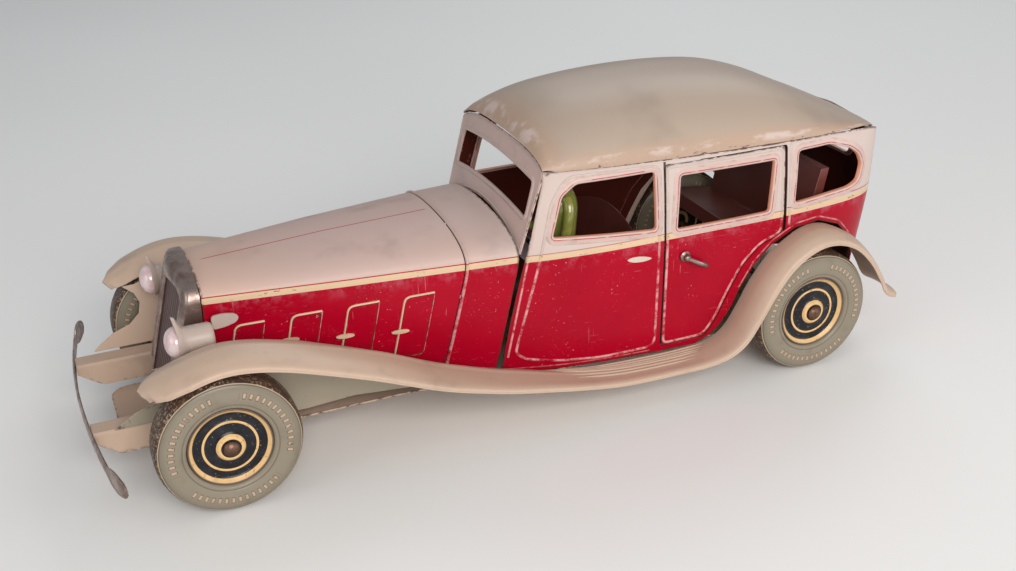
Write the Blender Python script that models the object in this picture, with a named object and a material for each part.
"""Pressed tin limousine with a friction drive.

Frame: +X is the front of the car, +Y its left side, +Z up, floor at z = 0,
origin under the middle of the bounding box.  Helper tables are written in
wheel radii from the front axle (negative towards the tail) and turned into
millimetres by sx(), so every length follows WHEEL_R.
"""
import math

import bpy
import numpy as np
from mathutils import Vector, geometry

for old in list(bpy.data.objects):
    bpy.data.objects.remove(old, do_unlink=True)

# ------------------------------------------------------------ driving sizes
MM = 0.001
WHEEL_R = 38.0
FRONT_AXLE_X = 176.0
REAR_AXLE_X = -175.0
NOSE_X = 242.0
TYRE_W = 22.0
WHEEL_FACE_Y = 88.5
DISC_R = 22.0
AXLE_R = 2.0
FIT = 0.06
GAP = 0.3
SHEET = 0.8
FENDER_OUT_Y = 91.0
LIP_DROP = 2.1
BOARD_Z = 22.2
PAN_Z = 20.4
PAN_T = 1.0
RAIL_TOP = 38.8
RAIL_DROP = 14.6
RAIL_IN_Y = 33.0
RAIL_OUT_Y = 45.8
BELT_Z = 93.1
SEAM_GAP = 0.7
DOOR_GAP = 0.6
HINGE_GAP = 2.0
HINGE_R = 0.7
BONNET_NOSE = 173.6
LAMP_Y = 42.6
LAMP_Z = 80.0
LAMP_R = 7.6
LENS_R = 9.2
LAMP_BACK_X = 171.0
LAMP_FRONT_X = 190.0
MODULE = 0.9
GEAR_TEETH = 30
PINION_TEETH = 12
SQUAB_TOP = 92.7
SQUAB_ARCH = 0.00526
SQUAB_LEAN = 0.3
NECK_Z = 55.0
TOOTH_EASE = 0.16
GEAR_T = 3.0

CREAM = (0.62, 0.49, 0.38, 1.0)
KHAKI = (0.55, 0.44, 0.31, 1.0)
CRIMSON = (0.42, 0.01, 0.05, 1.0)
GREY = (0.33, 0.32, 0.26, 1.0)
BLACK = (0.02, 0.02, 0.025, 1.0)
NICKEL = (0.55, 0.50, 0.47, 1.0)
RUST = (0.16, 0.08, 0.05, 1.0)
SEAT = (0.16, 0.04, 0.03, 1.0)
OLIVE = (0.22, 0.24, 0.05, 1.0)
SKIN = (0.70, 0.42, 0.30, 1.0)
LENS = (0.80, 0.66, 0.66, 1.0)
BRASS = (0.60, 0.42, 0.16, 1.0)


def sx(value):
    """Millimetre X of a station given in wheel radii from the front axle."""
    return FRONT_AXLE_X + WHEEL_R * value


def rz(value):
    """Millimetres of a length given in wheel radii."""
    return WHEEL_R * value


# --------------------------------------------------------------- materials
def material(name, colour, roughness, metallic):
    mat = bpy.data.materials.new(name)
    mat.use_nodes = True
    shader = mat.node_tree.nodes["Principled BSDF"]
    shader.inputs["Base Color"].default_value = colour
    shader.inputs["Roughness"].default_value = roughness
    shader.inputs["Metallic"].default_value = metallic
    mat.diffuse_color = colour
    return mat


def add_object(name, points, faces, paint, at=(0.0, 0.0, 0.0), smooth=30.0):
    """Mesh object from millimetre points; its origin sits at `at`."""
    colour, roughness, metallic = paint
    mesh = bpy.data.meshes.new(name)
    origin = np.array(at, float)
    coords = (np.array(points, float) - origin) * MM
    mesh.from_pydata([tuple(c) for c in coords], [], [tuple(f) for f in faces])
    mesh.validate()
    mesh.update()
    obj = bpy.data.objects.new(name, mesh)
    obj.location = tuple(origin * MM)
    bpy.context.scene.collection.objects.link(obj)
    mesh.materials.append(material(name + "_mat", colour, roughness, metallic))
    mesh.shade_smooth()
    mesh.set_sharp_from_angle(angle=math.radians(smooth))
    fix_outward(mesh)
    return obj


def fix_outward(mesh):
    """Turn the faces over when the signed volume comes out negative."""
    volume = 0.0
    for poly in mesh.polygons:
        ids = poly.vertices
        first = mesh.vertices[ids[0]].co
        for k in range(1, len(ids) - 1):
            second = mesh.vertices[ids[k]].co
            third = mesh.vertices[ids[k + 1]].co
            volume += first.dot(second.cross(third))
    if volume < 0.0:
        mesh.flip_normals()


# ----------------------------------------------------------------- helpers
def table(rows, value, column):
    """Straight-line interpolation in a table sorted by its first column."""
    data = np.array(sorted(rows))
    return float(np.interp(value, data[:, 0], data[:, column]))


def spline(points, per_span):
    """Catmull-Rom curve through the points, `per_span` steps in each span."""
    pts = [np.array(p, float) for p in points]
    pts = [2 * pts[0] - pts[1]] + pts + [2 * pts[-1] - pts[-2]]
    out = []
    for k in range(1, len(pts) - 2):
        for step in range(per_span):
            t = step / per_span
            a, b, c, d = pts[k - 1], pts[k], pts[k + 1], pts[k + 2]
            curve = 2 * b + (c - a) * t + (2 * a - 5 * b + 4 * c - d) * t ** 2
            out.append(0.5 * (curve + (3 * b - a - 3 * c + d) * t ** 3))
    out.append(pts[-2])
    return np.array(out)


def thicken(outer, inner, faces):
    """Closed shell from two matching point sheets and the faces between."""
    count = len(outer)
    edges = {}
    for face in faces:
        for k in range(len(face)):
            a, b = face[k], face[(k + 1) % len(face)]
            key = (min(a, b), max(a, b))
            edges.setdefault(key, []).append((a, b))
    solid = [tuple(f) for f in faces]
    solid += [tuple(v + count for v in reversed(f)) for f in faces]
    for uses in edges.values():
        if len(uses) == 1:
            a, b = uses[0]
            solid.append((b, a, a + count, b + count))
    return np.vstack([outer, inner]), solid


def grid_normals(grid):
    du = np.gradient(grid, axis=0)
    dv = np.gradient(grid, axis=1)
    normal = np.cross(du, dv)
    length = np.linalg.norm(normal, axis=2, keepdims=True)
    return normal / np.maximum(length, 1e-9)


def grid_sheet(name, grid, thick, paint, smooth=40.0):
    """Sheet of even thickness; the grid is its outer skin."""
    grid = np.array(grid, float)
    rows, cols = grid.shape[:2]
    normal = grid_normals(grid)
    centre = grid.reshape(-1, 3).mean(axis=0)
    if np.sum((grid - centre) * normal) < 0.0:
        normal = -normal
    outer = grid.reshape(-1, 3)
    inner = (grid - normal * thick).reshape(-1, 3)
    faces = []
    for i in range(rows - 1):
        for j in range(cols - 1):
            a = i * cols + j
            faces.append((a, a + 1, a + cols + 1, a + cols))
    points, solid = thicken(outer, inner, faces)
    return add_object(name, points, solid, paint, smooth=smooth)


def inside(point, loop):
    """Even-odd test of a 2-D point against a closed loop."""
    x, y = point
    odd = False
    for k in range(len(loop)):
        x1, y1 = loop[k]
        x2, y2 = loop[(k + 1) % len(loop)]
        if (y1 > y) != (y2 > y) and x < (x2 - x1) * (y - y1) / (y2 - y1) + x1:
            odd = not odd
    return odd


def loop_distance(point, loop):
    """Shortest distance from a 2-D point to a closed loop."""
    p = np.array(point)
    a = np.array(loop, float)
    b = np.roll(a, -1, axis=0)
    ab = b - a
    t = np.clip(np.sum((p - a) * ab, 1) / np.maximum(np.sum(ab * ab, 1), 1e-9), 0, 1)
    return float(np.min(np.linalg.norm(a + ab * t[:, None] - p, axis=1)))


def resample(loop, step):
    """Closed loop with no edge longer than `step`."""
    out = []
    for k in range(len(loop)):
        a = np.array(loop[k], float)
        b = np.array(loop[(k + 1) % len(loop)], float)
        parts = max(1, int(math.ceil(np.linalg.norm(b - a) / step)))
        out += [tuple(a + (b - a) * i / parts) for i in range(parts)]
    return out


def panel(name, loops, step, place, thick, paint, smooth=40.0, at=(0, 0, 0)):
    """Curved sheet: a flat outline with holes, placed in space by place(u, v)."""
    loops = [resample(loop, step) for loop in loops]
    verts = [Vector(p) for loop in loops for p in loop]
    edges = []
    base = 0
    for loop in loops:
        edges += [(base + k, base + (k + 1) % len(loop)) for k in range(len(loop))]
        base += len(loop)
    low = np.min(np.array(loops[0]), axis=0)
    high = np.max(np.array(loops[0]), axis=0)
    for u in np.arange(low[0] + step * 0.5, high[0], step):
        for v in np.arange(low[1] + step * 0.5, high[1], step):
            spot = (float(u), float(v))
            if not inside(spot, loops[0]) or any(inside(spot, h) for h in loops[1:]):
                continue
            if min(loop_distance(spot, loop) for loop in loops) > 0.45 * step:
                verts.append(Vector(spot))
    flat, _, tris, _, _, _ = geometry.delaunay_2d_cdt(verts, edges, [], 0, 1e-5)
    kept = []
    for tri in tris:
        mid = sum((flat[i] for i in tri), Vector((0.0, 0.0))) / 3.0
        if inside(mid, loops[0]) and not any(inside(mid, h) for h in loops[1:]):
            kept.append(tuple(tri))
    used = sorted({i for tri in kept for i in tri})
    renumber = {old: new for new, old in enumerate(used)}
    kept = [tuple(renumber[i] for i in tri) for tri in kept]
    outer = []
    inner = []
    tiny = 0.05
    for i in used:
        u, v = flat[i]
        spot = np.array(place(u, v), float)
        du = np.array(place(u + tiny, v)) - np.array(place(u - tiny, v))
        dv = np.array(place(u, v + tiny)) - np.array(place(u, v - tiny))
        normal = np.cross(du, dv)
        normal /= np.linalg.norm(normal)
        outer.append(spot + normal * thick / 2)
        inner.append(spot - normal * thick / 2)
    points, solid = thicken(np.array(outer), np.array(inner), kept)
    return add_object(name, points, solid, paint, at=at, smooth=smooth)


def lathe(name, profile, axis, at, paint, steps=32, bend=None, smooth=35.0):
    """Closed (radius, along) profile turned round the X or Y axis at `at`."""
    points = []
    faces = []
    ring = []
    for radius, along in profile:
        if radius < 1e-6:
            ring.append([len(points)])
            points.append(turn(0.0, along, 0.0, axis, at, bend))
            continue
        ring.append(list(range(len(points), len(points) + steps)))
        for k in range(steps):
            angle = 2 * math.pi * k / steps
            points.append(turn(radius, along, angle, axis, at, bend))
    for a, b in zip(ring, ring[1:] + ring[:1]):
        if len(a) == 1 and len(b) == 1:
            continue
        for k in range(steps):
            n = (k + 1) % steps
            if len(a) == 1:
                faces.append((a[0], b[n], b[k]))
            elif len(b) == 1:
                faces.append((a[k], a[n], b[0]))
            else:
                faces.append((a[k], a[n], b[n], b[k]))
    return add_object(name, points, faces, paint, at=at, smooth=smooth)


def turn(radius, along, angle, axis, at, bend):
    if bend is not None:
        radius, along = bend(radius, along, angle)
    a = radius * math.sin(angle)
    b = radius * math.cos(angle)
    if axis == "X":
        return (at[0] + along, at[1] + a, at[2] + b)
    if axis == "Y":
        return (at[0] + a, at[1] + along, at[2] + b)
    return (at[0] + a, at[1] + b, at[2] + along)


def prism(name, outline, low, high, axis, paint, at=(0, 0, 0), smooth=30.0):
    """Flat outline pushed along Y ("Y": outline in X-Z) or Z ("Z": in X-Y)."""
    count = len(outline)
    points = []
    for level in (low, high):
        for a, b in outline:
            points.append((a, level, b) if axis == "Y" else (a, b, level))
    flat = [Vector((a, b, 0.0)) for a, b in outline]
    tris = [tuple(t) for t in geometry.tessellate_polygon([flat])]
    if signed_area(outline) * signed_area([outline[i] for i in tris[0]]) > 0.0:
        tris = [tuple(reversed(t)) for t in tris]
    faces = list(tris)
    faces += [tuple(count + i for i in reversed(t)) for t in tris]
    for k in range(count):
        n = (k + 1) % count
        faces.append((k, n, count + n, count + k))
    return add_object(name, points, faces, paint, at=at, smooth=smooth)


def signed_area(loop):
    """Twice the area of a flat loop, positive when it runs anticlockwise."""
    area = 0.0
    for k in range(len(loop)):
        x1, y1 = loop[k]
        x2, y2 = loop[(k + 1) % len(loop)]
        area += x1 * y2 - x2 * y1
    return area


def tube(name, path, radius, paint, steps=8, at=(0, 0, 0)):
    """Round bar along a path of points."""
    pts = np.array(path, float)
    points = []
    faces = []
    side = None
    for k, p in enumerate(pts):
        before = pts[max(k - 1, 0)]
        after = pts[min(k + 1, len(pts) - 1)]
        run = (after - before) / np.linalg.norm(after - before)
        if side is None:
            guide = np.array([0.0, 0.0, 1.0]) if abs(run[2]) < 0.9 else np.array([1.0, 0.0, 0.0])
            side = np.cross(run, guide)
        side = side - run * np.dot(side, run)
        side /= np.linalg.norm(side)
        other = np.cross(run, side)
        for n in range(steps):
            angle = 2 * math.pi * n / steps
            points.append(p + radius * (math.cos(angle) * side + math.sin(angle) * other))
    for k in range(len(pts) - 1):
        for n in range(steps):
            m = (n + 1) % steps
            faces.append((k * steps + n, k * steps + m, (k + 1) * steps + m, (k + 1) * steps + n))
    faces.append(tuple(reversed(range(steps))))
    last = (len(pts) - 1) * steps
    faces.append(tuple(range(last, last + steps)))
    return add_object(name, points, faces, paint, at=at)


def circle(centre, radius, steps=20):
    """Polygon whose flats lie on the circle, so a round bar still clears it."""
    corner = radius / math.cos(math.pi / steps)
    return [(centre[0] + corner * math.cos(2 * math.pi * k / steps),
             centre[1] + corner * math.sin(2 * math.pi * k / steps)) for k in range(steps)]


def weld(base, *others):
    """Make `base` one solid with the helper objects, which are then hidden."""
    for other in others:
        other.hide_render = True
        other.display_type = "WIRE"
        joiner = base.modifiers.new("weld_" + other.name, "BOOLEAN")
        joiner.operation = "UNION"
        joiner.solver = "EXACT"
        joiner.object = other


# --------------------------------------------------------- body plan curves
PLAN = spline([(sx(-4.10), rz(1.37)), (sx(-4.6), rz(1.50)), (sx(-5.2), rz(1.62)),
               (sx(-6.0), rz(1.73)), (sx(-7.0), rz(1.80)), (sx(-8.0), rz(1.83)),
               (sx(-8.9), rz(1.82)), (sx(-9.6), rz(1.77)), (sx(-10.2), rz(1.68)),
               (sx(-10.58), rz(1.54)), (sx(-10.82), rz(1.32)), (sx(-10.92), rz(1.00)),
               (sx(-10.94), rz(0.50)), (sx(-10.94), 0.0)], 4)
PLAN_RUN = np.concatenate([[0.0], np.cumsum(np.linalg.norm(np.diff(PLAN, axis=0), axis=1))])
PLAN_LEN = float(PLAN_RUN[-1])
TUCK = ((rz(0.60), rz(-0.05)), (rz(1.1), rz(-0.03)), (rz(1.8), rz(-0.01)), (rz(2.45), 0.0),
        (rz(2.65), rz(-0.01)), (rz(3.2), rz(-0.05)), (rz(3.9), rz(-0.13)))
TAIL_TUCK = ((rz(0.60), rz(-0.30)), (rz(1.1), rz(-0.18)), (rz(1.7), rz(-0.09)), (rz(2.45), 0.0),
             (rz(3.0), rz(0.03)), (rz(3.75), rz(0.04)))
TAIL_FROM = sx(-9.8)
TAIL_FULL = sx(-10.7)


def plan_u(x):
    """Run along the plan curve (from the tail) where the side reaches X."""
    order = np.argsort(PLAN[:, 0])
    return PLAN_LEN - float(np.interp(x, PLAN[order, 0], PLAN_RUN[order]))


def lean_in(x, z):
    """Offset of the skin from the plan curve; the tail leans out at the top."""
    part = float(np.interp(x, (TAIL_FULL, TAIL_FROM), (1.0, 0.0)))
    return table(TAIL_TUCK, z, 1) * part + table(TUCK, z, 1) * (1.0 - part)


def plan_place(u, z):
    """Point of the body skin; u < 0 is the right-hand side."""
    side = 1.0 if u >= 0.0 else -1.0
    run = PLAN_LEN - abs(u)
    run = min(max(run, 0.0), PLAN_LEN)
    x = float(np.interp(run, PLAN_RUN, PLAN[:, 0]))
    y = float(np.interp(run, PLAN_RUN, PLAN[:, 1]))
    ahead = min(run + 1.0, PLAN_LEN)
    back = max(run - 1.0, 0.0)
    dx = np.interp(ahead, PLAN_RUN, PLAN[:, 0]) - np.interp(back, PLAN_RUN, PLAN[:, 0])
    dy = np.interp(ahead, PLAN_RUN, PLAN[:, 1]) - np.interp(back, PLAN_RUN, PLAN[:, 1])
    size = math.hypot(dx, dy)
    tuck = lean_in(x, z)
    normal = (-1.0, 0.0) if abs(u) < 2.0 else (dy / size, -dx / size)
    return (x + normal[0] * tuck, side * (y + normal[1] * tuck), z)


def side_half_width(x, z):
    order = np.argsort(PLAN[:, 0])
    return float(np.interp(x, PLAN[order, 0], PLAN[order, 1])) + table(TUCK, z, 1)


# ------------------------------------------------------------------ fenders
CROWN = spline([(sx(1.03), rz(1.88)), (sx(0.90), rz(2.01)), (sx(0.55), rz(2.16)),
                (sx(0.10), rz(2.28)), (sx(-0.35), rz(2.28)), (sx(-0.9), rz(2.16)),
                (sx(-1.6), rz(1.92)), (sx(-2.3), rz(1.65)), (sx(-3.1), rz(1.28)),
                (sx(-3.9), rz(1.01)), (sx(-4.6), rz(0.835)), (sx(-5.3), rz(0.685)),
                (sx(-6.0), rz(0.60)), (sx(-7.0), BOARD_Z), (sx(-7.55), rz(0.65)), (sx(-7.85), rz(0.82)),
                (sx(-8.08), rz(1.18)), (sx(-8.32), rz(1.62)), (sx(-8.65), rz(2.02)),
                (sx(-9.1), rz(2.28)), (sx(-9.55), rz(2.31)), (sx(-9.98), rz(2.12)),
                (sx(-10.32), rz(1.78)), (sx(-10.55), rz(1.42)), (sx(-10.72), rz(1.13)),
                (sx(-10.94), rz(1.00))], 1)
INNER_Y = ((sx(-10.94), rz(1.62)), (sx(-10.4), rz(1.60)), (sx(-9.8), rz(1.73)),
           (sx(-8.9), rz(1.845)), (sx(-8.0), rz(1.80)), (sx(-7.2), rz(1.71)),
           (sx(-6.0), rz(1.665)), (sx(-5.0), rz(1.56)), (sx(-4.3), rz(1.41)),
           (sx(-3.5), rz(1.29)), (sx(-3.0), rz(1.26)), (sx(-2.4), rz(1.29)), (sx(-1.6), rz(1.37)),
           (sx(-0.9), rz(1.45)), (sx(0.2), rz(1.48)), (sx(0.80), rz(1.48)), (sx(0.97), rz(1.56)),
           (sx(1.03), rz(1.70)))
OUTER_Y = ((sx(-10.94), rz(2.24)), (sx(-10.6), rz(2.36)), (sx(-9.5), FENDER_OUT_Y),
           (sx(0.45), FENDER_OUT_Y), (sx(0.74), rz(2.34)), (sx(0.95), rz(2.17)),
           (sx(1.03), rz(1.98)))
ARCH = ((sx(-10.94), 0.5), (sx(-9.6), 1.0), (sx(-8.3), 1.0), (sx(-7.7), 0.35),
        (sx(-6.8), 0.0), (sx(-5.2), 0.0), (sx(-3.6), 0.45), (sx(-2.4), 1.0), (sx(1.03), 1.0))
IN_DROP = ((sx(-8.0), 1.1), (sx(-6.2), 1.3), (sx(-5.5), 4.0), (sx(-4.8), 6.8), (sx(-4.2), 8.6),
           (sx(-3.6), 11.0), (sx(-3.1), 12.0), (sx(-2.4), 12.0), (sx(-1.9), 8.5), (sx(-1.3), 5.4))
SECTION = ((0.0, -1.0, -1.0), (0.12, -0.6, -0.6), (0.30, -0.17, -0.17), (0.52, 0.0, 0.0),
           (0.74, -0.9, 0.1), (0.90, -2.6, 0.3), (0.985, -4.2, -0.5), (1.0, -6.4, -LIP_DROP))
CROWN_PART = 0.52


def fender(side, name):
    run = np.gradient(CROWN, axis=0)
    run /= np.linalg.norm(run, axis=1, keepdims=True)
    grid = []
    for (x, z), (tx, tz) in zip(CROWN, run):
        nx, nz = tz, -tx
        if nz < 0 and z < BOARD_Z + 1:
            nx, nz = -nx, -nz
        lift = table(ARCH, x, 1)
        y_in = table(INNER_Y, x, 1)
        y_out = table(OUTER_Y, x, 1)
        row = []
        for part, curved, level in SECTION:
            drop = curved * lift + level * (1.0 - lift)
            if part < CROWN_PART:
                drop = curved * table(IN_DROP, x, 1)
            y = y_in + (y_out - y_in) * part
            row.append((x + nx * drop, side * y, z + nz * drop))
        grid.append(row)
    return grid_sheet(name, grid, SHEET, (KHAKI, 0.45, 0.0))


def valance_y(z):
    """The inner wing plate leans outwards above the chassis rail."""
    return RAIL_OUT_Y + 0.6 + 0.22 * max(0.0, z - RAIL_TOP)


# ------------------------------------------------------------- build chassis
for side, tag in ((1, "left"), (-1, "right")):
    fender(side, "fender_" + tag)

pan_half = [(sx(1.25), 24), (sx(1.25) - 4, 30), (sx(1.25) - 10, 32), (163, 32), (160, 45),
            (sx(-2.9), 45), (sx(-3.9), 50), (sx(-5.0), 57.0), (sx(-7.8), 58.5), (-225, 58.5), (-234, 44)]
pan = pan_half + [(x, -y) for x, y in reversed(pan_half)]
prism("chassis_pan", pan, PAN_Z, PAN_Z + PAN_T, "Z", (KHAKI, 0.5, 0.0))

for side, tag in ((1, "left"), (-1, "right")):
    web = RAIL_TOP - RAIL_DROP
    rail_ring = [(RAIL_IN_Y, web), (RAIL_IN_Y, RAIL_TOP), (RAIL_OUT_Y, RAIL_TOP), (RAIL_OUT_Y, web),
                 (RAIL_OUT_Y - 0.9, web), (RAIL_OUT_Y - 0.9, RAIL_TOP - 0.9),
                 (RAIL_IN_Y + 0.9, RAIL_TOP - 0.9), (RAIL_IN_Y + 0.9, web)]
    front = []
    back = []
    for y, z in rail_ring:
        nose = 238.9 if z > web + 1 else 231.5
        front.append((nose, side * y, z if z > web + 1 else web + 1.2))
        back.append((186.0, side * y, z))
    rail_points = front + back
    rail_faces = [(0, 1, 6, 7), (1, 2, 5, 6), (2, 3, 4, 5), (15, 14, 9, 8), (14, 13, 10, 9), (13, 12, 11, 10)]
    for k in range(8):
        n = (k + 1) % 8
        rail_faces.append((k, k + 8, n + 8, n))
    add_object("rail_" + tag, rail_points, rail_faces, (KHAKI, 0.5, 0.0))

    crown_under = [(x, z - 2.4 - table(IN_DROP, x, 1)) for x, z in CROWN if sx(-3.45) < x < sx(0.62)]
    valance = [(sx(0.79), rz(1.93)), (sx(0.63), rz(1.80)), (sx(0.57), rz(1.65)), (sx(0.61), rz(1.49)),
               (sx(0.77), rz(1.35)), (sx(1.04), rz(1.26)), (sx(1.24), rz(1.13)), (sx(1.36), 39.3),
               (188, 39.3), (184, 45), (168, 45), (162, 27), (sx(-1.3), rz(0.70)), (sx(-2.0), rz(0.74)),
               (sx(-2.9), rz(0.66)), (sx(-3.40), rz(0.66))]
    valance += list(reversed(crown_under))
    panel("valance_" + tag, [valance], 30.0, lambda u, v, s=side: (u, s * valance_y(v), v), SHEET,
          (GREY, 0.55, 0.0))

# bumper: one thin bowed blade whose ends widen and turn back to a point
bumper = []
for k in range(-12, 13):
    y = 99.0 * k / 12
    far = max(0.0, abs(y) - 78.0) / 21.0
    x = NOSE_X - 0.00092 * y * y - 3.2 * far ** 2
    half = 3.6 + 2.6 * math.sin(math.pi * min(far * 1.05, 1.0)) * (far < 0.95) - 2.6 * (far > 0.95)
    mid = rz(0.96) - 3.4 * (abs(y) / 99.0) ** 2
    bumper.append([(x, y, mid - half), (x, y, mid), (x, y, mid + half)])
grid_sheet("bumper_blade", bumper, 0.8, (NICKEL, 0.35, 1.0))

# ------------------------------------------------------- bonnet and scuttle
BONNET = ((sx(-3.8), rz(1.385), rz(2.93)), (sx(-2.0), rz(1.15), rz(2.87)), (sx(0.0), rz(0.845), rz(2.75)))


def bonnet_section(x, z_low, squeeze):
    """Half arch over the bonnet, from the top centre down the left side."""
    half = table(BONNET, x, 1)
    top = table(BONNET, x, 2)
    points = []
    for k in range(7):
        angle = math.pi / 2 * k / 6
        y = half * math.sin(angle) ** 0.92
        z = BELT_Z + 2.0 + (top - BELT_Z - 2.0) * math.cos(angle) ** 0.80
        points.append((y, z))
    for part in (0.04, 0.35, 0.7, 1.0):
        z = BELT_Z + (z_low - BELT_Z) * part
        points.append((half - squeeze * part ** 1.6, z))
    return points


def arch_rows(stations):
    """Rows of points across the car, right sill to left sill."""
    rows = []
    for edge, z_low, squeeze in stations:
        half = bonnet_section(edge(BELT_Z), z_low, squeeze)
        row = [(edge(z), -y, z) for y, z in reversed(half[1:])]
        row += [(edge(z), y, z) for y, z in half]
        rows.append(row)
    return rows


def leaning(top, low):
    """Edge line that moves from x=low at the sill to x=top above the belt."""
    return lambda z: top + (low - top) * min(1.0, max(0.0, (BELT_Z - z) / (BELT_Z - 28.0)))


bonnet_rows = []
for part in np.linspace(0.0, 1.0, 6):
    top = BONNET_NOSE + (sx(-3.74) - BONNET_NOSE) * part
    low = BONNET_NOSE + (sx(-3.36) - BONNET_NOSE) * part
    bonnet_rows.append((leaning(top, low), rz(1.20 - 0.40 * part), rz(0.05 + 0.11 * part)))
grid_sheet("bonnet", arch_rows(bonnet_rows), SHEET, (CREAM, 0.4, 0.0))


def scuttle_half(part):
    """Section of the scuttle between the bonnet and the windscreen."""
    front = bonnet_section(sx(-3.76), rz(0.80), rz(0.16))
    rear = []
    for k in range(7):
        angle = math.pi / 2 * k / 6
        rear.append((rz(1.475) * math.sin(angle) ** 0.95, rz(2.50) + rz(0.44) * math.cos(angle) ** 0.85))
    for step in (0.04, 0.35, 0.7, 1.0):
        z = BELT_Z + (rz(0.69) - BELT_Z) * step
        rear.append((side_half_width(sx(-4.6 + 0.35 * step), z) - 0.9, z))
    return [(a[0] + (b[0] - a[0]) * part, a[1] + (b[1] - a[1]) * part) for a, b in zip(front, rear)]


scuttle_rows = []
for part in (0.0, 0.25, 0.5, 0.75, 1.0):
    top = sx(-3.76) + (sx(-4.545) - sx(-3.76)) * part
    low = sx(-3.38) + (sx(-4.20) - sx(-3.38)) * part
    edge = leaning(top, low)
    half = scuttle_half(part)
    row = [(edge(z), -y, z) for y, z in reversed(half[1:])]
    row += [(edge(z), y, z) for y, z in half]
    scuttle_rows.append(row)
grid_sheet("scuttle", scuttle_rows, SHEET, (CREAM, 0.4, 0.0))

# windscreen frame: leaning plate with one wide opening
SCREEN_LEAN = 0.29


def screen_place(y, z):
    bow = 2.2 * (1.0 - (y / 60.0) ** 2)
    return (sx(-4.565) - SCREEN_LEAN * (z - rz(2.56)) + bow, y, z)


def arch_line(half, z_side, z_mid, parts=8):
    ys = np.linspace(-half, half, parts + 1)
    return [(float(y), z_side + (z_mid - z_side) * (1.0 - (y / half) ** 2)) for y in ys]


def roof_line(half, z_side, z_mid, parts=16):
    """Fuller arch that follows the front edge of the roof."""
    ys = half * np.sin(np.linspace(-math.pi / 2, math.pi / 2, parts + 1))
    rise = [max(0.0, 1.0 - abs(y / half) ** 2.6) ** 0.62 for y in ys]
    return [(float(y), z_side + (z_mid - z_side) * r) for y, r in zip(ys, rise)]


screen_low = arch_line(rz(1.47), rz(2.57), rz(2.92))
screen_top = roof_line(rz(1.545), rz(3.765), rz(4.005))
open_low = arch_line(rz(1.35), rz(3.09), rz(3.20))
open_top = arch_line(rz(1.33), rz(3.62), rz(3.72))
screen_loops = [screen_low + list(reversed(screen_top)), open_low + list(reversed(open_top))]
panel("windscreen_frame", screen_loops, 12.0, screen_place, SHEET, (CREAM, 0.4, 0.0))

# ------------------------------------------------------------- body and doors
DOOR = [(-6.79, 0.71), (-7.54, 0.73), (-7.74, 1.00), (-7.93, 1.42), (-8.17, 1.86), (-8.47, 2.14),
        (-8.86, 2.26), (-8.86, 3.66), (-6.79, 3.66)]
DOOR_WINDOW = [(-6.98, 2.64), (-8.60, 2.65), (-8.69, 3.47), (-7.04, 3.48)]
FRONT_WINDOW = [(-5.02, 2.78), (-6.65, 2.69), (-6.63, 3.60), (-5.40, 3.57), (-5.18, 3.40)]
QUARTER = [(-9.06, 2.70), (-10.16, 2.75), (-10.36, 2.82), (-10.42, 3.08), (-10.32, 3.28),
           (-10.13, 3.42), (-9.74, 3.54), (-9.12, 3.54)]
SILL = [(-4.24, 0.61), (-5.3, 0.61), (-7.40, 0.62), (-7.55, 0.67), (-7.68, 0.745), (-7.80, 0.85),
        (-7.97, 1.08), (-8.12, 1.40),
        (-8.36, 1.80), (-8.68, 2.10), (-9.1, 2.30), (-9.55, 2.33), (-10.0, 2.16), (-10.36, 1.80),
        (-10.58, 1.44), (-10.70, 1.10)]
FRONT_EDGE = [(-4.38, 1.42), (-4.48, 1.89), (-4.565, 2.27), (-4.67, 2.65), (-4.81, 3.2)]
EAVE = ((-11.0, 3.44), (-10.9, 3.50), (-10.75, 3.60), (-10.4, 3.69), (-9.2, 3.72), (-7.7, 3.75),
        (-6.4, 3.77), (-5.0, 3.80))


def on_plan(points, sign):
    return [(sign * plan_u(sx(x)), rz(z)) for x, z in points]


def widened(points, amount):
    """Outline moved outwards by `amount` millimetres."""
    loop = np.array(points, float)
    before = np.roll(loop, 1, axis=0)
    after = np.roll(loop, -1, axis=0)
    a = loop - before
    b = after - loop
    a /= np.linalg.norm(a, axis=1, keepdims=True)
    b /= np.linalg.norm(b, axis=1, keepdims=True)
    area = np.sum(loop[:, 0] * after[:, 1] - after[:, 0] * loop[:, 1])
    turn_sign = 1.0 if area > 0 else -1.0
    normal_a = np.stack([a[:, 1], -a[:, 0]], 1) * turn_sign
    normal_b = np.stack([b[:, 1], -b[:, 0]], 1) * turn_sign
    mid = normal_a + normal_b
    scale = amount / np.maximum(1e-6, 0.5 * np.sum(mid * mid, axis=1))
    return [tuple(p) for p in loop + mid * scale[:, None]]


def door_opening(sign):
    loop = widened(on_plan(DOOR, sign), DOOR_GAP)
    out = []
    for u, v in loop:
        if abs(abs(u) - plan_u(sx(-8.86))) < 1.5:
            u = u - sign * (HINGE_GAP - DOOR_GAP)
        out.append((u, v))
    return out


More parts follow.
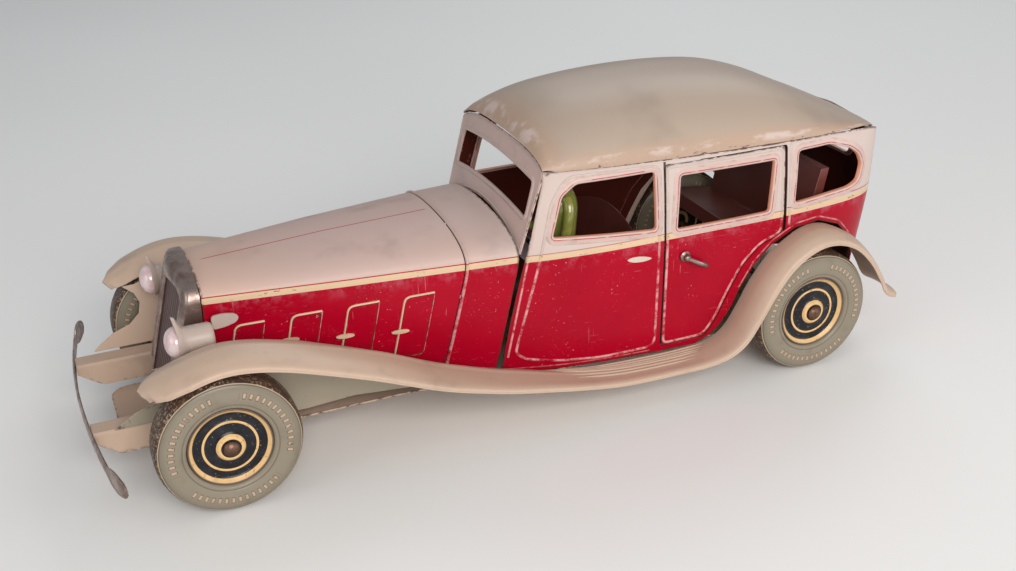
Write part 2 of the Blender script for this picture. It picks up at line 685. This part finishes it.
left_edge = on_plan(SILL, 1)
low_tail = [(rz(1.02), rz(0.75)), (0.0, rz(0.72)), (-rz(1.02), rz(0.75))]
front_edge = on_plan(FRONT_EDGE, 1)
for x in (-4.94, -5.02, -5.7, -6.4, -7.2, -8.0, -8.7, -9.3, -9.8, -10.25, -10.6, -10.8):
    front_edge.append((plan_u(sx(x)), rz(table(EAVE, x, 1)) - SEAM_GAP))
front_edge += [(rz(0.95), rz(3.42)), (rz(0.55), rz(3.39))]
outline = [(u, v) for u, v in left_edge]
outline += low_tail
outline += [(-u, v) for u, v in reversed(left_edge)]
outline += [(-u, v) for u, v in front_edge]
outline += [(u, v) for u, v in reversed(front_edge)]
holes = []
for sign in (1, -1):
    holes.append(door_opening(sign))
    holes.append(on_plan(FRONT_WINDOW, sign))
    holes.append(on_plan(QUARTER, sign))
rear_window = [(-24.0, rz(2.86)), (24.0, rz(2.86)), (27.0, rz(3.05)), (24.0, rz(3.42)), (0.0, rz(3.47)),
               (-24.0, rz(3.42)), (-27.0, rz(3.05))]
holes.append(rear_window)
panel("body_shell", [outline] + holes, 18.0, plan_place, SHEET, (CRIMSON, 0.35, 0.0))

HINGE_X = sx(-8.86) - 0.2
HINGE_Y = side_half_width(sx(-8.86), rz(2.9)) - 3.1
for sign, tag in ((1, "left"), (-1, "right")):
    hinge = (HINGE_X, sign * HINGE_Y, rz(2.95))
    panel("rear_door_" + tag, [on_plan(DOOR, sign), on_plan(DOOR_WINDOW, sign)], 18.0, plan_place,
          SHEET, (CRIMSON, 0.35, 0.0), at=hinge)
    lathe("hinge_tube_" + tag, [(HINGE_R + 0.1, -5.0), (1.5, -5.0), (1.5, 5.0), (HINGE_R + 0.1, 5.0)],
          "Z", hinge, (NICKEL, 0.4, 1.0), steps=12)
    lathe("hinge_pin_" + tag, [(0.0, -10.0), (HINGE_R, -10.0), (HINGE_R, 10.0), (0.0, 10.0)],
          "Z", hinge, (NICKEL, 0.4, 1.0), steps=16)
    knob_x = sx(-7.12)
    knob_z = rz(2.20)
    knob_y = side_half_width(knob_x, knob_z) + 0.4 + GAP
    spin = (knob_x, sign * knob_y, knob_z)
    knob = []
    for along, radius in ((0.0, 3.0), (1.2, 3.0), (1.8, 2.2), (3.2, 1.9), (4.2, 1.2)):
        knob.append((radius, sign * along))
    rosette = lathe("door_handle_" + tag, [(0.0, 0.0)] + knob + [(0.0, sign * 4.2)], "Y", spin,
                    (NICKEL, 0.3, 1.0), steps=20)
    lever = []
    for part in np.linspace(0.0, 1.0, 7):
        lever.append((knob_x + 0.4 - 14.0 * part, sign * (knob_y + 3.3 + 1.2 * math.sin(math.pi * part)),
                      knob_z - 7.4 * part))
    weld(rosette, tube("lever_" + tag, lever, 1.3, (NICKEL, 0.3, 1.0), at=spin))

# roof: one domed pressing sitting on the body top
ROOF = ((-4.90, 1.53, 4.05), (-5.02, 1.555, 4.24), (-5.25, 1.59, 4.38), (-5.7, 1.645, 4.51),
        (-6.4, 1.705, 4.59), (-7.2, 1.73, 4.62), (-8.0, 1.745, 4.59), (-8.7, 1.745, 4.50),
        (-9.3, 1.72, 4.32), (-9.8, 1.675, 4.10), (-10.25, 1.61, 3.89), (-10.6, 1.49, 3.73),
        (-10.80, 1.34, 3.64), (-10.93, 1.05, 3.57), (-10.98, 0.62, 3.53))
roof_rows = []
for x, half, top in ROOF:
    row = []
    for k in range(-6, 7):
        t = math.sin(math.pi / 2 * k / 6)
        rise = (1.0 - abs(t) ** 2.6) ** 0.62 if abs(t) < 1.0 else 0.0
        edge = rz(table(EAVE, x, 1)) if x < -5.0 else rz(3.83)
        row.append((sx(x), rz(half) * t, edge + (rz(top) - edge) * rise))
    roof_rows.append(row)
grid_sheet("roof", roof_rows, 1.0, (CREAM, 0.45, 0.0))

# ----------------------------------------------------------------- radiator
RAD_LOW = rz(1.08)
RAD_TOP = rz(2.84)
RAD_HALF = rz(0.86)


def rad_front(y, z):
    """X of the V-shaped radiator face, leaning back towards the top."""
    ridge = sx(0.70) + (sx(0.24) - sx(0.70)) * (z - RAD_LOW) / (RAD_TOP - RAD_LOW)
    return ridge - 0.20 * abs(y)


def rad_outline(inset, low):
    half = RAD_HALF - inset
    shoulder = RAD_TOP - rz(0.36)
    points = [(half * 0.94, low), (half * 0.985, (low + shoulder) / 2), (half, shoulder)]
    for k in range(1, 8):
        angle = math.pi / 2 * k / 8
        rise = (RAD_TOP - inset - shoulder) * math.sin(angle)
        points.append((half * math.cos(angle) ** 0.7, shoulder + rise))
    points.append((0.0, RAD_TOP - inset))
    return points + [(-y, z) for y, z in reversed(points[:-1])]


shell = []
for (y0, z0), (y1, z1), (y2, z2) in zip(rad_outline(9.0, RAD_LOW), rad_outline(2.2, RAD_LOW),
                                        rad_outline(0.0, RAD_LOW)):
    shell.append([(rad_front(y0, z0), y0, z0), (rad_front(y1, z1), y1, z1),
                  (rad_front(y2, z2) - 1.8, y2, z2), (BONNET_NOSE + 0.5, y2, z2)])
grid_sheet("radiator_shell", shell, 0.8, (NICKEL, 0.35, 1.0))
grille_loop = rad_outline(7.4, RAD_LOW + 0.4)
panel("radiator_grille", [grille_loop], 9.0, lambda y, z: (rad_front(y, z) - 2.6, y, z), 0.8,
      (RUST, 0.5, 0.4))

# ---------------------------------------------------------------- headlamps
for side, tag in ((1, "left"), (-1, "right")):
    lamp_at = (LAMP_BACK_X, side * LAMP_Y, LAMP_Z)
    length = LAMP_FRONT_X - LAMP_BACK_X

    def visor(radius, along, angle, length=length):
        peak = max(0.0, math.cos(angle)) ** 10
        if along > length - 3.0 and radius > LAMP_R + 0.6:
            return radius + 4.6 * peak, along + 1.5 * peak
        return radius, along

    lamp = [(0.0, 0.0), (5.6, 0.0), (LAMP_R, 2.0), (LAMP_R, length - 4.0), (LENS_R, length - 2.2),
            (LENS_R + 0.8, length), (LENS_R + 0.1, length), (LENS_R - 0.6, length - 1.6),
            (LAMP_R - 0.9, length - 3.4), (LAMP_R - 0.9, 1.6), (0.0, 0.9)]
    lathe("headlamp_" + tag, lamp, "X", lamp_at, (CREAM, 0.4, 0.0), steps=20, bend=visor)
    dome = [(0.0, length - 1.2)]
    dome += [(LENS_R - 0.9, length - 1.2), (LENS_R - 0.7, length + 0.4)]
    for k in range(1, 5):
        angle = math.pi / 2 * k / 5
        dome.append(((LENS_R - 0.7) * math.cos(angle), length + 0.4 + 6.2 * math.sin(angle)))
    dome.append((0.0, length + 6.6))
    lathe("lamp_lens_" + tag, dome, "X", lamp_at, (LENS, 0.15, 0.0), steps=20)
    tongue = [(170.6, 80.4), (170.6, 88.2), (164.0, 88.6), (158.0, 87.4), (156.0, 85.0), (158.0, 82.4),
              (164.0, 80.8)]
    prism("lamp_bracket_" + tag, tongue, side * 36.5, side * 37.7, "Y", (CREAM, 0.4, 0.0))

# -------------------------------------------------------- axles and wheels
HUB_IN = WHEEL_FACE_Y - TYRE_W
WHEEL_STEPS = 32


def tyre_profile():
    r = WHEEL_R
    rim = DISC_R + GAP
    return [(rim, 2.0), (r * 0.72, 0.0), (r * 0.95, 1.8), (r, 6.0), (r, TYRE_W - 6.0),
            (r * 0.95, TYRE_W - 1.8), (r * 0.74, TYRE_W), (rim, TYRE_W - 2.0)]


def disc_profile(bore):
    return [(bore, 6.0), (DISC_R, 4.0), (DISC_R, TYRE_W - 2.6), (DISC_R - 2.4, TYRE_W - 2.8),
            (DISC_R - 3.4, TYRE_W - 4.0), (8.0, TYRE_W - 3.0), (6.4, TYRE_W - 1.2), (bore, TYRE_W - 1.2)]


for axle_x, end in ((FRONT_AXLE_X, "front"), (REAR_AXLE_X, "rear")):
    for side, tag in ((1, "left"), (-1, "right")):
        at = (axle_x, side * HUB_IN, WHEEL_R)
        name = end + "_" + tag
        bore = AXLE_R + (FIT if end == "front" else 0.0)
        tyre = [(r, side * a) for r, a in tyre_profile()]
        disc = [(r, side * a) for r, a in disc_profile(bore + (0.0 if end == "front" else 0.02))]
        lathe("tyre_" + name, tyre, "Y", at, (GREY, 0.5, 0.0), steps=WHEEL_STEPS)
        lathe("wheel_disc_" + name, disc, "Y", at, (BLACK, 0.35, 0.0), steps=WHEEL_STEPS)
        nut = [(0.0, TYRE_W - 0.9), (4.2, TYRE_W - 0.9), (4.0, TYRE_W + 0.4), (2.6, TYRE_W + 1.5),
               (0.0, TYRE_W + 1.9)]
        lathe("hub_cap_" + name, [(r, side * a) for r, a in nut], "Y", at, (RUST, 0.5, 0.6), steps=16)
    half = WHEEL_FACE_Y - 1.2
    bar = [(0.0, -half), (AXLE_R, -half), (AXLE_R, half), (0.0, half)]
    lathe(end + "_axle", bar, "Y", (axle_x, 0.0, WHEEL_R), (RUST, 0.5, 0.7), steps=24)

# bracket that carries the front axle: folded strip with two bored ears
for side, tag in ((1, "left"), (-1, "right")):
    ear = []
    for k in range(13):
        angle = math.pi * k / 12
        ear.append((FRONT_AXLE_X + 5.0 * math.cos(angle), WHEEL_R + 5.0 * math.sin(angle)))
    ear += [(FRONT_AXLE_X - 7.0, PAN_Z + PAN_T + GAP), (FRONT_AXLE_X + 7.0, PAN_Z + PAN_T + GAP)]
    hole = circle((FRONT_AXLE_X, WHEEL_R), AXLE_R + FIT)
    mid_y = side * 28.0
    panel("axle_bracket_" + tag, [ear, hole], 6.0, lambda u, v, y=mid_y: (u, y, v), 1.2, (NICKEL, 0.5, 0.8))

# ------------------------------------------------------------ friction drive
DRIVE_Y = 17.0
PITCH = MODULE * (GEAR_TEETH + PINION_TEETH) / 2.0
LAY_X = REAR_AXLE_X + PITCH * math.cos(math.radians(35))
LAY_Z = WHEEL_R + PITCH * math.sin(math.radians(35))
FLY_X = LAY_X + PITCH * math.cos(math.radians(4))
FLY_Z = LAY_Z + PITCH * math.sin(math.radians(4))


def gear_loop(teeth, centre, phase):
    """Straight-flanked teeth, thinned a little so the mesh runs free."""
    pitch_r = MODULE * teeth / 2.0
    root = pitch_r - 1.25 * MODULE
    tip = pitch_r + 0.85 * MODULE
    loop = []
    for k in range(teeth):
        mid = phase + 2 * math.pi * k / teeth
        for radius, wide in ((root, 0.40), (pitch_r, 0.25 - TOOTH_EASE / (MODULE * 6)), (tip, 0.10)):
            loop.append((radius, mid - 2 * math.pi / teeth * wide))
        for radius, wide in ((tip, 0.10), (pitch_r, 0.25 - TOOTH_EASE / (MODULE * 6)), (root, 0.40)):
            loop.append((radius, mid + 2 * math.pi / teeth * wide))
    return [(centre[0] + r * math.cos(a), centre[1] + r * math.sin(a)) for r, a in loop]


def mesh_phase(own, other, own_teeth):
    """Phase that puts a tooth gap of `own` on the line to the other centre."""
    line = math.atan2(other[1] - own[1], other[0] - own[0])
    return line + math.pi / own_teeth


axle_c = (REAR_AXLE_X, WHEEL_R)
lay_c = (LAY_X, LAY_Z)
fly_c = (FLY_X, FLY_Z)
line_one = math.atan2(lay_c[1] - axle_c[1], lay_c[0] - axle_c[0])
line_two = math.atan2(fly_c[1] - lay_c[1], fly_c[0] - lay_c[0])


def flat_y(level):
    """Place function of an upright plate at one Y."""
    return lambda u, v: (u, level, v)


panel("drive_gear", [gear_loop(GEAR_TEETH, axle_c, line_one), circle(axle_c, AXLE_R + 0.02)], 40.0,
      flat_y(8.0), GEAR_T, (BRASS, 0.4, 1.0), at=(REAR_AXLE_X, 8.0, WHEEL_R))
SHAFT_REACH = DRIVE_Y + 1.6
bar = [(0.0, -SHAFT_REACH), (1.5, -SHAFT_REACH), (1.5, SHAFT_REACH), (0.0, SHAFT_REACH)]
lay_shaft = lathe("lay_shaft", bar, "Y", (LAY_X, 0.0, LAY_Z), (BRASS, 0.4, 1.0), steps=16)
lay_pinion = panel("lay_pinion", [gear_loop(PINION_TEETH, lay_c, mesh_phase(lay_c, axle_c, PINION_TEETH))],
                   40.0, flat_y(8.0), GEAR_T + 1.0, (BRASS, 0.4, 1.0))
lay_gear = panel("lay_gear", [gear_loop(GEAR_TEETH, lay_c, line_two)], 40.0, flat_y(-4.0), GEAR_T,
                 (BRASS, 0.4, 1.0))
weld(lay_shaft, lay_pinion, lay_gear)
fly_shaft = lathe("flywheel_shaft", bar, "Y", (FLY_X, 0.0, FLY_Z), (BRASS, 0.4, 1.0), steps=16)
fly_pinion = panel("fly_pinion", [gear_loop(PINION_TEETH, fly_c, mesh_phase(fly_c, lay_c, PINION_TEETH))],
                   40.0, flat_y(-4.0), GEAR_T + 1.0, (BRASS, 0.4, 1.0))
weld(fly_shaft, fly_pinion)
wheel = [(1.52, 2.0), (3.4, 2.0), (3.4, 4.5), (8.0, 4.5), (8.0, 3.0), (11.5, 3.0), (11.5, 12.0), (8.0, 12.0),
         (8.0, 7.5), (3.4, 7.5), (3.4, 10.0), (1.52, 10.0)]
lathe("flywheel", wheel, "Y", (FLY_X, 0.0, FLY_Z), (RUST, 0.45, 0.8), steps=24)

for side, tag in ((1, "left"), (-1, "right")):
    foot = PAN_Z + PAN_T + GAP
    plate = [(REAR_AXLE_X - 8, foot), (FLY_X + 6, foot), (FLY_X + 6, FLY_Z + 6), (LAY_X - 4, LAY_Z + 8),
             (REAR_AXLE_X - 8, WHEEL_R + 8)]
    bores = [circle(axle_c, AXLE_R + FIT), circle(lay_c, 1.5 + FIT, 16), circle(fly_c, 1.5 + FIT, 16)]
    panel("drive_plate_" + tag, [plate] + bores, 12.0, flat_y(side * DRIVE_Y), 1.2, (NICKEL, 0.5, 0.8))

# ------------------------------------------------------------------ interior
seat_low = PAN_Z + PAN_T + GAP
front_seat = [(sx(-6.46), seat_low), (sx(-6.46), 65), (sx(-5.25), 69), (sx(-5.2), seat_low),
              (sx(-5.2) + 1.2, seat_low), (sx(-5.2) + 1.0, 70.4), (sx(-6.49), 66.2),
              (sx(-6.46) - 1.2, seat_low)]
prism("front_seat", front_seat, -50.0, 50.0, "Y", (SEAT, 0.4, 0.0))


def seat_back_place(y, z):
    """The squab leans back from the bench towards its arched top."""
    return (sx(-6.56) - SQUAB_LEAN * max(0.0, z - 62.0), y, z)


squab = [(-50.0, seat_low), (50.0, seat_low)]
for y in np.linspace(50.0, -50.0, 17):
    squab.append((float(y), SQUAB_TOP - SQUAB_ARCH * y * y))
panel("front_seat_back", [squab], 30.0, seat_back_place, SHEET, (SEAT, 0.4, 0.0))
rear_seat = [(sx(-9.55), 67.4), (sx(-8.75), 72), (sx(-8.68), 66), (sx(-8.68) + 1.2, 66),
             (sx(-8.75) + 1.0, 73.6), (sx(-9.55), 69.2), (sx(-9.85), 114), (sx(-10.0), 114),
             (sx(-9.75), 67.4)]
prism("rear_seat", rear_seat, -52.0, 52.0, "Y", (SEAT, 0.4, 0.0))

driver_at = (sx(-5.54), 27.0, 71.2)
torso = [(0.0, 0.0), (12.0, 0.0), (13.0, 7.7), (12.2, 21.0), (13.4, 34.0), (12.6, 44.0), (8.0, 52.0),
         (4.2, NECK_Z), (0.0, NECK_Z)]
driver = lathe("driver_body", torso, "Z", driver_at, (OLIVE, 0.25, 0.0), steps=20,
      bend=lambda r, a, t: (r * (0.78 + 0.22 * math.sin(t + math.pi / 2) ** 2), a))
head = [(0.0, 0.0), (3.6, 0.0), (4.4, 2.4), (6.6, 5.0), (7.4, 9.5), (7.2, 13.0), (8.6, 14.2), (8.4, 17.6),
        (6.0, 19.4), (0.0, 19.8)]
head_at = (driver_at[0], driver_at[1], driver_at[2] + NECK_Z + GAP)
lathe("driver_head", head, "Z", head_at, (SKIN, 0.35, 0.0), steps=20)
for side, tag in ((1, "left"), (-1, "right")):
    arm = [(driver_at[0] + 0.5, driver_at[1] + side * 13.6, driver_at[2] + 46.5),
           (driver_at[0] + 1.5, driver_at[1] + side * 16.6, driver_at[2] + 41.0),
           (driver_at[0] + 6.0, driver_at[1] + side * 17.0, driver_at[2] + 22.0),
           (driver_at[0] + 15.5, driver_at[1] + side * 13.8, driver_at[2] + 25.0)]
    weld(driver, tube("arm_" + tag, spline(arm, 3), 3.1, (OLIVE, 0.25, 0.0)))

wheel_c = np.array([driver_at[0] + 23.5, driver_at[1], driver_at[2] + 26.0])
tilt = math.radians(38.0)
dash = np.array([math.cos(tilt), 0.0, -math.sin(tilt)])
rim = []
for k in range(24):
    angle = 2 * math.pi * k / 24
    rim.append(wheel_c + 13.0 * (math.cos(angle) * np.array([0, 1.0, 0])
                                 + math.sin(angle) * np.array([math.sin(tilt), 0, math.cos(tilt)])))
ring_pts = []
ring_faces = []
for k, p in enumerate(rim):
    out = (p - wheel_c) / np.linalg.norm(p - wheel_c)
    for n in range(6):
        angle = 2 * math.pi * n / 6
        ring_pts.append(p + 1.1 * (math.cos(angle) * out + math.sin(angle) * dash))
for k in range(24):
    for n in range(6):
        a = k * 6 + n
        b = k * 6 + (n + 1) % 6
        c = ((k + 1) % 24) * 6 + (n + 1) % 6
        d = ((k + 1) % 24) * 6 + n
        ring_faces.append((a, b, c, d))
steering = add_object("steering_wheel", ring_pts, ring_faces, (BLACK, 0.35, 0.0))
column = [wheel_c - dash * 1.6, wheel_c + dash * 30.0]
weld(steering, tube("column", column, 1.6, (BLACK, 0.35, 0.0), steps=10))
for k in (0, 8, 16):
    weld(steering, tube("spoke_%d" % k, [wheel_c, rim[k]], 0.8, (BLACK, 0.35, 0.0), steps=6))
